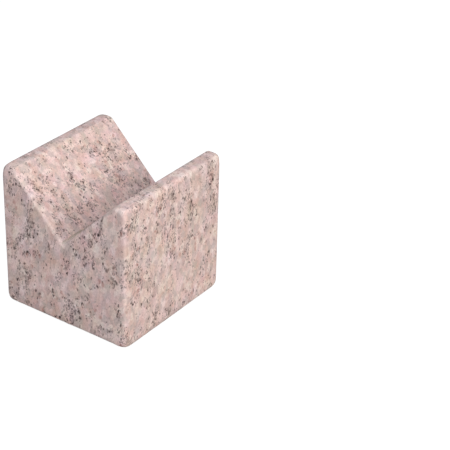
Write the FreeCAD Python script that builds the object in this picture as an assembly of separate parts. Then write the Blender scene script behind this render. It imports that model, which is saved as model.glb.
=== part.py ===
"""Granite V block: a stone cube with a centred V along its top, which cradles round work.

The block is one piece of stone. X runs across the V, Y runs along it and Z is up. The origin
is the middle of the base, so the block stands on the XY plane. Lengths are in millimetres.
"""
import FreeCAD
import Part
import math
import os

from FreeCAD import Vector

# Outside of the block
block_width = 101.6     # across the V, along X
block_length = 101.6    # along the V, along Y
block_height = 101.6    # from the base to the flat tops of the two legs

# The V, centred in the width and open at both ends
vee_angle = 90.0        # between the two flanks
land_width = 9.525      # flat top of each leg, from its outer side to the mouth of the V

# Relief groove sawn where the flanks would meet, so that they can be ground down to a clean
# lower edge, and so that the corner of a square bar still seats in the V
relief_width = 3.2
relief_depth = 1.6      # from the lower edges of the flanks to the groove's floor

# Every outside edge and corner is rounded over, so that the brittle stone doesn't chip
edge_radius = 3.5


def vee_levels():
    """Heights of the line where the flanks would meet, of their lower edges and of the floor."""
    half_angle = math.radians(vee_angle / 2)
    half_opening = block_width / 2 - land_width
    root = block_height - half_opening / math.tan(half_angle)
    lower_edges = root + relief_width / 2 / math.tan(half_angle)
    return root, lower_edges, lower_edges - relief_depth


def edge_rounding():
    """Radius of the rounded edges. The top of a leg has one on each side, so its width is the limit."""
    turn_onto_side = math.radians(90)
    turn_onto_flank = math.radians(90 - vee_angle / 2)
    share_of_land = math.tan(turn_onto_side / 2) + math.tan(turn_onto_flank / 2)
    return min(edge_radius, 0.9 * land_width / share_of_land)


def section():
    """Face of the block's section across the V, in the plane of its front end."""
    half_width = block_width / 2
    half_opening = half_width - land_width
    half_groove = relief_width / 2
    root, lower_edges, floor = vee_levels()
    right_half = [
        (half_groove, floor),
        (half_groove, lower_edges),
        (half_opening, block_height),
        (half_width, block_height),
        (half_width, 0),
    ]
    left_half = [(-x, z) for x, z in reversed(right_half)]
    corners = [Vector(x, -block_length / 2, z) for x, z in right_half + left_half]
    return Part.Face(Part.makePolygon(corners + corners[:1]))


def is_outside_edge(edge):
    """True for every edge but the four that run along the groove, inside the V."""
    box = edge.BoundBox
    runs_along = box.YLength > block_length / 2
    in_groove = max(abs(box.XMin), abs(box.XMax)) < relief_width
    return not (runs_along and in_groove)


def v_block():
    """The section drawn out along the V, with its outside edges rounded over."""
    drawn = section().extrude(Vector(0, block_length, 0))
    outside_edges = [edge for edge in drawn.Edges if is_outside_edge(edge)]
    return drawn.makeFillet(edge_rounding(), outside_edges).Solids[0]


os.makedirs("parts", exist_ok=True)
block = v_block()
block.exportStep("parts/v_block.step")

root, lower_edges, floor = vee_levels()
print(f"v_block: valid {block.isValid()}, {len(block.Faces)} faces, {block.Volume / 1000:.1f} cm3")
print(f"V opening {block_width - 2 * land_width:.2f} mm, flanks meet {root:.2f} mm above the base")
print(f"groove from {lower_edges:.2f} to {floor:.2f} mm, edges rounded {edge_rounding():.2f} mm")
print("ok")
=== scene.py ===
# %% [markdown]
# # A granite V block
#
# A V block is a cube of stone with a right-angled V ground along its top. Round work lies in
# the V and can't roll, while it is marked out or measured. Granite is chosen because it
# doesn't rust, doesn't burr and hardly moves with the temperature.
#
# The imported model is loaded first. It is the fixed frame: every size and place below comes
# from it, so that the looks fit the part without any fitting by eye.

import math
import random

import bmesh
import bpy
from mathutils import Matrix, Vector


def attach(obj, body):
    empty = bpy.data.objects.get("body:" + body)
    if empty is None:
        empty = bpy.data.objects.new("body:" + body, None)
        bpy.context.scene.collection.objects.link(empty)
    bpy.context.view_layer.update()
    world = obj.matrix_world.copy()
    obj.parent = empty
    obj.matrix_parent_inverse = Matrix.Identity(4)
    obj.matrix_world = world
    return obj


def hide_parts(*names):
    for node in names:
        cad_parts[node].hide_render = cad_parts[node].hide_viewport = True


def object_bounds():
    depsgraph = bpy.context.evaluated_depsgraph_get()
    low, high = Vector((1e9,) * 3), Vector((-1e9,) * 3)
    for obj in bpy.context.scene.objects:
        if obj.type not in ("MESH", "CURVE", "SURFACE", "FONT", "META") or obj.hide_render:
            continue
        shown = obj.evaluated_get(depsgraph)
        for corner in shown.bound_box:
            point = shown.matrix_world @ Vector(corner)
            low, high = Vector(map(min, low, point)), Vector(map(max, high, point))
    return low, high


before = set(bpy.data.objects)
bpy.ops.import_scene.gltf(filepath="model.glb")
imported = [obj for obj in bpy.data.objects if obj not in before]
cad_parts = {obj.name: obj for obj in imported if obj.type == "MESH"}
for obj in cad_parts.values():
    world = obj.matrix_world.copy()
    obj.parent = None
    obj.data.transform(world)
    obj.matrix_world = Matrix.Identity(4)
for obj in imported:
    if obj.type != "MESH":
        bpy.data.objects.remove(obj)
cad_low, cad_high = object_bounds()
size = cad_high - cad_low
centre = (cad_low + cad_high) / 2
print("block", [round(side * 1000, 2) for side in size], "mm")

# %% [markdown]
# ## The sizes that shape it
#
# Each leg has a flat top, called a land here. The V falls at 45 degrees from both lands, and a
# narrow relief groove is sawn where its two flanks would meet. These three lengths are the
# part's own. Everything else about the shape follows from them and from the frame's box.

# %% Sizes of the V
mm = 0.001
land_width = 9.525 * mm
relief_width = 3.2 * mm
relief_depth = 1.6 * mm

half_width = size.x / 2
half_length = size.y / 2
top = cad_high.z
base = cad_low.z
mouth = half_width - land_width
relief = relief_width / 2
flank_drop = mouth - relief
print("V opens", round(2 * mouth / mm, 2), "mm wide and is", round(flank_drop / mm, 2), "mm deep")

# %% [markdown]
# ## Editing helpers
#
# In edit mode an operator acts on what is selected, as it does by hand. `choose` selects in
# code: it takes a test of a vertex, edge or face. `cut` slices the whole mesh with a plane,
# which leaves a line of new edges all round it, like a mark scribed round the block.

# %% Helpers for edit mode
def nothing_selected():
    if bpy.context.object and bpy.context.object.mode != "OBJECT":
        bpy.ops.object.mode_set(mode="OBJECT")
    bpy.ops.object.select_all(action="DESELECT")


def choose(piece, kind, test):
    bpy.ops.mesh.select_mode(type=kind)
    bpy.ops.mesh.select_all(action="DESELECT")
    mesh = bmesh.from_edit_mesh(piece.data)
    parts = {"VERT": mesh.verts, "EDGE": mesh.edges, "FACE": mesh.faces}[kind]
    picked = [part for part in parts if test(part)]
    for part in picked:
        part.select_set(True)
    mesh.select_flush_mode()
    bmesh.update_edit_mesh(piece.data)
    return len(picked)


def cut(axis, place):
    bpy.ops.mesh.select_all(action="SELECT")
    point = centre.copy()
    point[axis] = place
    normal = Vector((0, 0, 0))
    normal[axis] = 1
    bpy.ops.mesh.bisect(plane_co=point, plane_no=normal)


X, Y, Z = 0, 1, 2
close = 0.01 * mm

# %% [markdown]
# ## A cube with support lines
#
# The stone could be a cube with bevelled edges. But its edges were eased by hand with a rubbing
# stone, so they roll over softly and the corners are rounder still. A subdivision surface rolls
# over in just this way. It needs a cage: a coarse mesh whose lines near an edge say how far
# the rounding reaches. A smooth surface starts to turn about one line away from the edge,
# and stays dead flat where the cage is flat.
#
# The cage starts as a cube at the block's size and place. Rows are cut round it at one, two
# and five reaches above the base and at one and two below the top. Upright lines go where the
# V's mouth and the groove will be.

# %% The cage's outer lines
reach = 4.4 * mm
steep = math.sqrt(2)          # a row follows the V's flank, and so it lies this much lower

nothing_selected()
bpy.ops.mesh.primitive_cube_add(size=1, location=centre, scale=size)
block = bpy.context.object
block.name = "granite_v_block"
bpy.ops.object.transform_apply(location=True, rotation=True, scale=True)
bpy.ops.object.mode_set(mode="EDIT")

for row in (reach, 2 * reach, 5 * reach):
    cut(Z, base + row)
for row in (reach * steep, 2 * reach * steep):
    cut(Z, top - row)
for side in (-1, 1):
    cut(X, side * mouth)
    cut(X, side * relief)
    cut(X, side * relief * 0.5)
print("cage starts with", len(bmesh.from_edit_mesh(block.data).faces), "faces")

# %% [markdown]
# ## Pressing in the V
#
# The top now has a strip for each land, two strips for the flanks and a narrow one for the
# groove. Moving the narrow strip straight down by the V's depth turns the flank strips into
# the 45 degree flanks. The rows just under the top go down with it, so they stay the same
# distance below the V's edge all the way along.
#
# The middle of that strip then goes down once more, and is spread to nearly the groove's full
# width. That gives the groove its floor and its two short walls.

# %% The V and its groove
upper_rows = top - 2 * reach * steep - close
choose(block, "VERT", lambda v: abs(v.co.x) < relief + close and v.co.z > upper_rows)
bpy.ops.transform.translate(value=(0, 0, -flank_drop))

lower_edges = top - flank_drop
groove_floor = lower_edges - relief_depth
floor_spread = 1.9            # the floor's edges start at half the groove's width
choose(block, "VERT", lambda v: abs(v.co.x) < relief - close and v.co.z > lower_edges - close)
bpy.ops.transform.translate(value=(0, 0, -relief_depth))
bpy.ops.transform.resize(value=(floor_spread, 1, 1), center_override=(0, 0, 0))
print("groove's floor is", round((groove_floor - base) / mm, 2), "mm above the base")

# %% [markdown]
# ## Lines that hold the flats
#
# More lines are cut now that the V is there. Those beside the mouth keep its edge crisp: it
# turns by only 45 degrees and is rounded less. Those along the block keep both ends' edges
# to the same reach as the others. A few lines are spread over the flanks and the length so
# that the faces stay near square.

# %% The cage's remaining lines
mouth_reach = 1.8 * mm
flank_lines = (0.66, 0.38, 0.15)        # shares of the mouth's half width
length_line = 0.45
across = [half_width - reach, mouth + mouth_reach]
across += [mouth - mouth_reach / steep, mouth - 3 * mouth_reach / steep]
across += [mouth * share for share in flank_lines]
along = [half_length - reach, half_length - 2 * reach, half_length * length_line]
for side in (-1, 1):
    for place in across:
        cut(X, side * place)
    for place in along:
        cut(Y, side * place)
cut(Y, centre.y)
print("cage has", len(bmesh.from_edit_mesh(block.data).faces), "faces")

# %% [markdown]
# ## Crisp groove, soft corners
#
# The saw leaves sharp edges, so the four edges along the groove are creased: a crease stays
# sharp under subdivision. The corners are the opposite. The rubbing stone passes over a
# corner from three sides and takes more off it, so each corner of the cage moves in a little.
# Along the edges the hand isn't perfectly even either, and a small random move inwards of
# the edge's own vertices shows that. It fades out within two lines of the edge, so the ground
# faces stay flat.

# %% Crease the groove and ease the edges
def is_groove_edge(edge):
    a, b = edge.verts
    runs_along = abs(a.co.x - b.co.x) < close and abs(a.co.z - b.co.z) < close
    in_groove = all(abs(v.co.x) < relief + close for v in edge.verts)
    at_groove = all(groove_floor - close < v.co.z < lower_edges + close for v in edge.verts)
    return runs_along and in_groove and at_groove


choose(block, "EDGE", is_groove_edge)
bpy.ops.transform.edge_crease(value=1)


def outer_faces(v):
    """Which of the block's six outer planes a vertex of the cage lies on, as signed axes."""
    low_high = ((-half_width, half_width), (-half_length, half_length), (base, top))
    return [
        (axis, sign)
        for axis, pair in enumerate(low_high)
        for sign, level in zip((-1, 1), pair)
        if abs(v.co[axis] - level) < close
    ]


corner_ease = 1.3 * mm
corner_luck = (0.7, 1.3)
edge_ease = 0.3 * mm
edge_luck = (0.0, 1.0)
hand = random.Random(7)
bpy.ops.mesh.select_all(action="DESELECT")
mesh = bmesh.from_edit_mesh(block.data)
for v in sorted(mesh.verts, key=lambda v: tuple(round(c, 5) for c in v.co)):
    planes = outer_faces(v)
    eases = {3: corner_ease * hand.uniform(*corner_luck), 2: edge_ease * hand.uniform(*edge_luck)}
    ease = eases.get(len(planes), 0)
    for axis, sign in planes if ease else ():
        v.co[axis] -= sign * ease
bmesh.update_edit_mesh(block.data)
bpy.ops.object.mode_set(mode="OBJECT")

# %% [markdown]
# ## From cage to stone
#
# Each face of the cage is split into 64, so that a rolled edge has more than ten faces across
# and looks round close up. Edges turning by more than 35 degrees, which are only those of the
# groove, are then shaded sharp and all the rest smooth.

# %% Subdivide the cage
splits = 3
sharp_turn = math.radians(35)
smooth = block.modifiers.new("ease", "SUBSURF")
smooth.levels = splits
smooth.render_levels = splits
bpy.ops.object.modifier_apply(modifier=smooth.name)
bpy.ops.object.shade_smooth_by_angle(angle=sharp_turn)
print("stone has", len(block.data.polygons), "faces")

# %% [markdown]
# ## Writing shader sums as sums
#
# A node tree is a long list of small sums. `Value` wraps one output of a node, so that
# `1 - mask * 0.5` adds the Math nodes for it. `Finish` is the tree of one material, or of the
# world, and its `node` method adds any other node: its type, its settings and then what goes
# into its sockets.

# %% A small language for materials
class Value:
    def __init__(self, finish, socket):
        self.finish = finish
        self.socket = socket

    def math(self, operation, *others):
        inputs = dict(enumerate((self, *others)))
        return self.finish.node("ShaderNodeMath", {"operation": operation}, inputs)

    def __add__(self, other):
        return self.math("ADD", other)

    def __radd__(self, other):
        return self.math("ADD", other)

    def __sub__(self, other):
        return self.math("SUBTRACT", other)

    def __rsub__(self, other):
        return self.finish.node("ShaderNodeMath", {"operation": "SUBTRACT"}, {0: other, 1: self})

    def __mul__(self, other):
        return self.math("MULTIPLY", other)

    def __rmul__(self, other):
        return self.math("MULTIPLY", other)

    def __truediv__(self, other):
        return self.math("DIVIDE", other)

    def __rtruediv__(self, other):
        return self.finish.node("ShaderNodeMath", {"operation": "DIVIDE"}, {0: other, 1: self})

    def below(self, other):
        return self.math("LESS_THAN", other)

    def part(self, name):
        """Another output of the same node."""
        return Value(self.finish, self.socket.node.outputs[name])


class Finish:
    def __init__(self, owner):
        self.owner = owner
        owner.use_nodes = True
        self.tree = owner.node_tree
        self.tree.nodes.clear()

    def node(self, kind, settings, sockets, output=0):
        made = self.tree.nodes.new(kind)
        for name, value in settings.items():
            setattr(made, name, value)
        for name, value in sockets.items():
            if isinstance(value, Value):
                self.tree.links.new(value.socket, made.inputs[name])
            else:
                made.inputs[name].default_value = value
        return Value(self, made.outputs[output] if len(made.outputs) else None)

    def ramp(self, value, stops):
        """A colour for each level of a value; the stops are pairs of level and colour."""
        made = self.node("ShaderNodeValToRGB", {}, {"Fac": value})
        elements = made.socket.node.color_ramp.elements
        elements.remove(elements[-1])
        for i, (level, colour) in enumerate(stops):
            stop = elements[0] if i == 0 else elements.new(level)
            stop.position = level
            stop.color = (*colour, 1)
        return made

    def fade(self, value, start, end, first=0.0, last=1.0):
        """Goes evenly from `first` to `last` while the value goes from `start` to `end`."""
        sockets = {"Value": value, "From Min": start, "From Max": end, "To Min": first, "To Max": last}
        return self.node("ShaderNodeMapRange", {}, sockets)

    def mix(self, amount, a, b, blend="MIX"):
        """Mixes two colours; a Math node would turn them grey."""
        settings = {"data_type": "RGBA", "blend_type": blend}
        a = a if isinstance(a, Value) else (*a, 1)
        b = b if isinstance(b, Value) else (*b, 1)
        return self.node("ShaderNodeMix", settings, {0: amount, 6: a, 7: b}, output=2)

    def vector(self, operation, a, b):
        return self.node("ShaderNodeVectorMath", {"operation": operation}, {0: a, 1: b})

    def axes(self, vector):
        split = self.node("ShaderNodeSeparateXYZ", {}, {"Vector": vector})
        return split.part("X"), split.part("Y"), split.part("Z")

    def noise(self, vector, grain, detail=2, roughness=0.5):
        """Soft noise whose lumps are about `grain` millimetres across."""
        sockets = {"Vector": vector, "Scale": 1 / grain, "Detail": detail, "Roughness": roughness}
        return self.node("ShaderNodeTexNoise", {}, sockets)

    def cells(self, vector, grain):
        """Grains about `grain` millimetres across: how far from the middle, and a random colour."""
        return self.node("ShaderNodeTexVoronoi", {"feature": "F1"}, {"Vector": vector, "Scale": 1 / grain})

    def soft_cells(self, vector, grain, softness):
        """Grains whose random colours run into each other at their borders."""
        sockets = {"Vector": vector, "Scale": 1 / grain, "Smoothness": softness}
        return self.node("ShaderNodeTexVoronoi", {"feature": "SMOOTH_F1"}, sockets)

    def draw(self, cell, channel):
        """One of a grain's three random numbers."""
        return self.node("ShaderNodeSeparateColor", {}, {"Color": cell.part("Color")}, channel)


def tint(red, green, blue):
    """A colour read off a paint card, 0 to 255, as the linear light that Blender mixes."""
    def linear(c):
        c = c / 255
        return c / 12.92 if c <= 0.04045 else ((c + 0.055) / 1.055) ** 2.4
    return tuple(linear(c) for c in (red, green, blue))


def grey(level):
    return (level, level, level)


# %% [markdown]
# ## Pink granite
#
# Granite is a solid jumble of grains that grew into each other: pink and peach feldspar with a
# little cream, clear grey quartz that looks lilac or faintly green, and small brown-black
# flakes of mica that gather in loose strings. The grains are drawn out a little in one
# direction, because the rock was squeezed while it was soft.
#
# A pattern of cells in space is right for it: each cell is a grain with its own mineral and
# shade, and it runs through the block, so that grains carry on round an edge from one face
# to the next. Coordinates are taken in millimetres and bent by a fine noise first, because
# real grain borders are ragged and never straight.
#
# How light a grain is and how pink it is are drawn apart. Neighbouring grains differ mostly in
# lightness, while the hue wanders slowly over patches of several millimetres.

# %% The grains
squeeze = (0, math.radians(10), 0)
stretch = 1.55
raggedness = 3.0

# Sizes, in millimetres, of the lumps and grains in each pattern
ragged_size = 2.2
feldspar_size = 4.6
drift_size = 9
quartz_size = 3.2
quartz_drift_size = 7
pink_size = 7.5
warm_size = 8
mottle_size = 1.1
string_size = 5
cluster_size = 16
stain_size = 2.6

# Each pattern is moved by its own step, so that no two of them line up
quartz_step = (31, 7, 19)
pink_step = (3, 61, 8)
warm_step = (47, 2, 33)
stain_step = (17, 3, 29)

# Flakes of mica: their size, their step and their share where they crowd most
mica_sizes = ((0.8, (5, 43, 11), 0.62), (1.5, (23, 9, 37), 0.56))
mica_share_alone = 0.018
stain_share = 0.03


def grains(finish, place):
    squeezed = {"Vector": place, "Rotation": squeeze, "Scale": (mm, mm, mm * stretch)}
    rock = finish.node("ShaderNodeMapping", {"vector_type": "TEXTURE"}, squeezed)
    ragged = finish.noise(rock, ragged_size, detail=3, roughness=0.65).part("Color")
    bend = finish.vector("SUBTRACT", ragged, grey(0.5))
    bend = finish.node("ShaderNodeVectorMath", {"operation": "SCALE"}, {0: bend, "Scale": raggedness})
    bent = finish.vector("ADD", rock, bend)

    # Feldspar is most of the stone
    feldspar = finish.soft_cells(bent, feldspar_size, softness=0.35)
    drift = finish.noise(rock, drift_size, detail=1)
    shade = finish.draw(feldspar, "Red") * 0.7 + drift * 0.7 - 0.2
    colour = finish.ramp(shade, [
        (0.00, tint(241, 217, 211)),
        (0.35, tint(234, 207, 200)),
        (0.60, tint(227, 197, 189)),
        (0.85, tint(219, 186, 177)),
        (1.00, tint(227, 196, 184)),
    ])

    # Quartz fills the gaps between, in smaller and greyer grains
    quartz = finish.soft_cells(finish.vector("ADD", bent, quartz_step), quartz_size, softness=0.45)
    pick = finish.draw(quartz, "Red") + finish.noise(rock, quartz_drift_size, detail=1) * 0.5 - 0.25
    is_quartz = finish.fade(pick, 0.48, 0.24)
    glassy = finish.mix(finish.draw(quartz, "Green"), tint(197, 178, 176), tint(195, 182, 173))
    colour = finish.mix(is_quartz * 0.55, colour, glassy)
    is_cream = finish.fade(pick, 0.74, 0.95)
    colour = finish.mix(is_cream * 0.7, colour, tint(243, 224, 215))

    # The hue wanders: pinker or greener, and apart from that bluer or yellower
    pink = finish.noise(finish.vector("ADD", rock, pink_step), pink_size, detail=1)
    warm = finish.noise(finish.vector("ADD", rock, warm_step), warm_size, detail=1)
    colour = finish.mix(1, colour, finish.mix(pink, (0.93, 1.035, 1.0), (1.07, 0.965, 1.0)), "MULTIPLY")
    colour = finish.mix(1, colour, finish.mix(warm, (1.0, 1.0, 1.11), (1.0, 1.0, 0.88)), "MULTIPLY")

    # Fine mottling inside every grain
    mottle = finish.noise(bent, mottle_size, detail=3, roughness=0.7)
    mottling = finish.ramp(mottle, [(0.3, (0.79, 0.765, 0.765)), (0.7, (1.17, 1.18, 1.18))])
    colour = finish.mix(1, colour, mottling, "MULTIPLY")

    # Mica: dark flakes of two sizes, close together along steep strings
    steep_rock = finish.vector("MULTIPLY", rock, (1, 1, 0.6))
    strings = finish.noise(steep_rock, string_size, detail=3, roughness=0.6)
    strings = strings * 0.65 + finish.noise(rock, cluster_size, detail=1) * 0.35
    mica = None
    for flake_size, step, densest in mica_sizes:
        flakes = finish.cells(finish.vector("ADD", bent, step), flake_size)
        crowd = finish.fade(strings, 0.49, 0.64, mica_share_alone, densest)
        is_flake = finish.draw(flakes, "Green").below(crowd)
        depth = finish.fade(finish.draw(flakes, "Blue"), 0, 1, 0.35, 1.05)
        layer = is_flake * finish.fade(flakes, 0.75, 0.30) * depth
        mica = layer if mica is None else mica.math("MAXIMUM", layer)
    colour = finish.mix(mica, colour, tint(66, 47, 43))

    # Rare stains of rust
    stains = finish.cells(finish.vector("ADD", bent, stain_step), stain_size)
    stain = finish.draw(stains, "Red").below(stain_share) * finish.fade(stains, 0.6, 0.3)
    colour = finish.mix(stain * 0.5, colour, tint(176, 116, 104))

    return {"colour": colour, "mica": mica, "quartz": is_quartz, "mottle": mottle, "rock": rock}


# %% [markdown]
# ## Lapped, rubbed and sawn
#
# The same stone has three finishes. The faces are lapped: flat, and with a low, even sheen.
# The eased edges were rubbed by hand with a coarse stone and are duller. They are also painted a touch
# paler: partly the rubbed wear, partly a painted highlight where the rolled edges catch the light.
# The groove is left from the saw, and fine lines run along it. Its grains are painted a pale grey-green:
# partly the saw's bruising, and partly painted light, the pale gleam the groove shows at a grazing angle.
#
# The place on the block picks the finish. The groove is known by its own box. An eased edge is
# known by its normal: on a face the normal points along an axis or square to a flank, and the
# less it agrees with all of these, the more the surface is rolling over.

# %% The finish of each place
bare = 0.05 * mm
# How much paler the eased edges are painted: partly rubbed wear, partly a painted highlight
edge_wear_and_painted_highlight = 0.12
# How strongly the groove is painted pale grey-green: partly the saw's bruising, partly painted light for
# its grazing gleam
saw_bruise_and_painted_gleam = 0.6
lapped_rough = 0.46
eased_rougher = 0.12
sawn_rougher = 0.3
bump_depth = 0.06 * mm
bump_strength = 0.18


def in_groove(finish, x, z):
    within = x.math("ABSOLUTE").below(relief + bare)
    under = z.below(lower_edges - 2 * bare)
    over = 1 - z.below(groove_floor - 4 * bare)
    return within * under * over


def on_eased_edge(finish, x, normal):
    nx, ny, nz = finish.axes(normal)
    inward = nx * x.math("SIGN") * -1
    to_flank = (inward + nz) / steep
    agrees = nx.math("ABSOLUTE").math("MAXIMUM", ny.math("ABSOLUTE"))
    agrees = agrees.math("MAXIMUM", nz.math("ABSOLUTE")).math("MAXIMUM", to_flank)
    return finish.fade(agrees, 0.985, 0.90)


def granite(name):
    finish = Finish(bpy.data.materials.new(name))
    coordinates = finish.node("ShaderNodeTexCoord", {}, {})
    place = coordinates.part("Object")
    x, _, z = finish.axes(place)
    stone = grains(finish, place)
    sawn = in_groove(finish, x, z)
    eased = on_eased_edge(finish, x, coordinates.part("Normal")) * (1 - sawn)

    # Eased edges painted paler: rubbed wear plus a painted highlight
    colour = finish.mix(eased * edge_wear_and_painted_highlight, stone["colour"], tint(240, 224, 217))
    # The groove painted pale grey-green: saw bruising plus painted light
    colour = finish.mix(sawn * saw_bruise_and_painted_gleam, colour, tint(212, 208, 196))

    by_mineral = stone["mica"] * 0.12 - stone["quartz"] * 0.08 + (stone["mottle"] - 0.5) * 0.12
    rough = lapped_rough + by_mineral + eased * eased_rougher + sawn * sawn_rougher

    saw_lines = finish.noise(finish.vector("MULTIPLY", stone["rock"], (1, 0.05, 1)), 0.35)
    pits = finish.noise(stone["rock"], 0.5)
    height = pits * (0.4 + eased * 0.8) - stone["mica"] * 0.6 + sawn * saw_lines * 3
    bumps = {"Height": height, "Strength": bump_strength, "Distance": bump_depth}
    bump = finish.node("ShaderNodeBump", {}, bumps)
    sockets = {"Base Color": colour, "Roughness": rough, "Normal": bump}
    shader = finish.node("ShaderNodeBsdfPrincipled", {}, sockets)
    finish.node("ShaderNodeOutputMaterial", {}, {"Surface": shader})
    return finish.owner


block.data.materials.clear()
block.data.materials.append(granite("pink_granite"))
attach(block, "root")
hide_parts("v_block")

# %% [markdown]
# ## Light
#
# About half of the light comes from all round, as in a white tent, and is slightly cool. Two big
# soft lamps shape the block: a warmer one to its right, which makes the right-hand side and
# the flank facing it the brightest, and one behind the camera, a little to its left, that
# opens up the front. A lamp's power is worked out from its level: at level 1 it alone would
# show a white card, held square to it at the block, as white.

# %% Lamps and room
def direction(azimuth, elevation):
    """Unit vector from the block; azimuth 0 is in front of it and 90 to its right."""
    a, e = math.radians(azimuth), math.radians(elevation)
    return Vector((math.sin(a) * math.cos(e), -math.cos(a) * math.cos(e), math.sin(e)))


lamp_distance = 1.3


def soft_lamp(name, way, width, level, colour):
    data = bpy.data.lights.new(name, "AREA")
    data.shape = "DISK"
    data.size = width
    data.color = colour
    data.energy = level * math.pi ** 2 * lamp_distance ** 2
    lamp = bpy.data.objects.new(name, data)
    bpy.context.scene.collection.objects.link(lamp)
    lamp.location = centre + way * lamp_distance
    lamp.rotation_euler = (-way).to_track_quat("-Z", "Y").to_euler()


soft_lamp("side_lamp", direction(90, 25), width=0.7, level=0.45, colour=(1.03, 0.985, 0.89))
soft_lamp("front_lamp", direction(30, 30), width=0.9, level=0.38, colour=(1.0, 1.0, 1.0))

room_level = 0.495
room_colour = (0.965, 0.99, 1.08, 1)
bpy.context.scene.world = bpy.data.worlds.new("room")
room = Finish(bpy.context.scene.world)
rays = room.node("ShaderNodeLightPath", {}, {})
looked_at = rays.part("Is Camera Ray").math("MAXIMUM", rays.part("Is Transmission Ray"))
lit = room.node("ShaderNodeBackground", {}, {"Color": room_colour, "Strength": room_level})
seen = room.node("ShaderNodeBackground", {}, {"Color": (1, 1, 1, 1), "Strength": 1})
sky = room.node("ShaderNodeMixShader", {}, {0: looked_at, 1: lit, 2: seen})
room.node("ShaderNodeOutputWorld", {}, {"Surface": sky})

# %% [markdown]
# ## White paper under it
#
# The block stands on white paper. To the camera the paper glows just enough to be pure white,
# and part of what is seen is still lit by the lamps, so the faint shadow beside the block stays.
# To the light itself the paper is darker, or it would throw too much light back on the stone.

# %% Floor
paper_width = 60 * size.x
paper_share = 0.4
paper_white = grey(0.8)
paper_glow = 1.42
paper_to_light = grey(0.3)

nothing_selected()
bpy.ops.mesh.primitive_plane_add(size=paper_width, location=(centre.x, centre.y, base))
floor = bpy.context.object
floor.name = "floor"
paper = Finish(bpy.data.materials.new("white_paper"))
to_camera_ray = paper.node("ShaderNodeLightPath", {}, {}, "Is Camera Ray")
matt = paper.node("ShaderNodeBsdfDiffuse", {}, {"Color": (*paper_white, 1)})
dull = paper.node("ShaderNodeBsdfDiffuse", {}, {"Color": (*paper_to_light, 1)})
glow = paper.node("ShaderNodeEmission", {}, {"Color": (1, 1, 1, 1), "Strength": paper_glow})
seen_paper = paper.node("ShaderNodeMixShader", {}, {0: paper_share, 1: glow, 2: matt})
surface = paper.node("ShaderNodeMixShader", {}, {0: to_camera_ray, 1: dull, 2: seen_paper})
paper.node("ShaderNodeOutputMaterial", {}, {"Surface": surface})
floor.data.materials.append(paper.owner)

# %% [markdown]
# ## Camera
#
# The camera stands in front, to the right and above, and sees the V from one end with much of
# one flank. V blocks come as a matched pair, and the view leaves room for the twin: the camera
# looks past this block by a few degrees, so that it stands at the left. It is rolled a little.

# %% Camera
to_camera = direction(39.22, 29.86)
look_back = direction(34.30, 29.74)
camera_distance = 1.0
roll = math.radians(1.88)
lens = 120
sensor = 36
camera_data = bpy.data.cameras.new("camera")
camera_data.lens = lens
camera_data.sensor_width = sensor
camera = bpy.data.objects.new("camera", camera_data)
bpy.context.scene.collection.objects.link(camera)
camera.location = centre + to_camera * camera_distance
turn = (-look_back).to_track_quat("-Z", "Y").to_matrix().to_4x4()
camera.rotation_euler = (turn @ Matrix.Rotation(roll, 4, "Z")).to_euler()
bpy.context.scene.camera = camera
bpy.context.scene.view_settings.view_transform = "Standard"
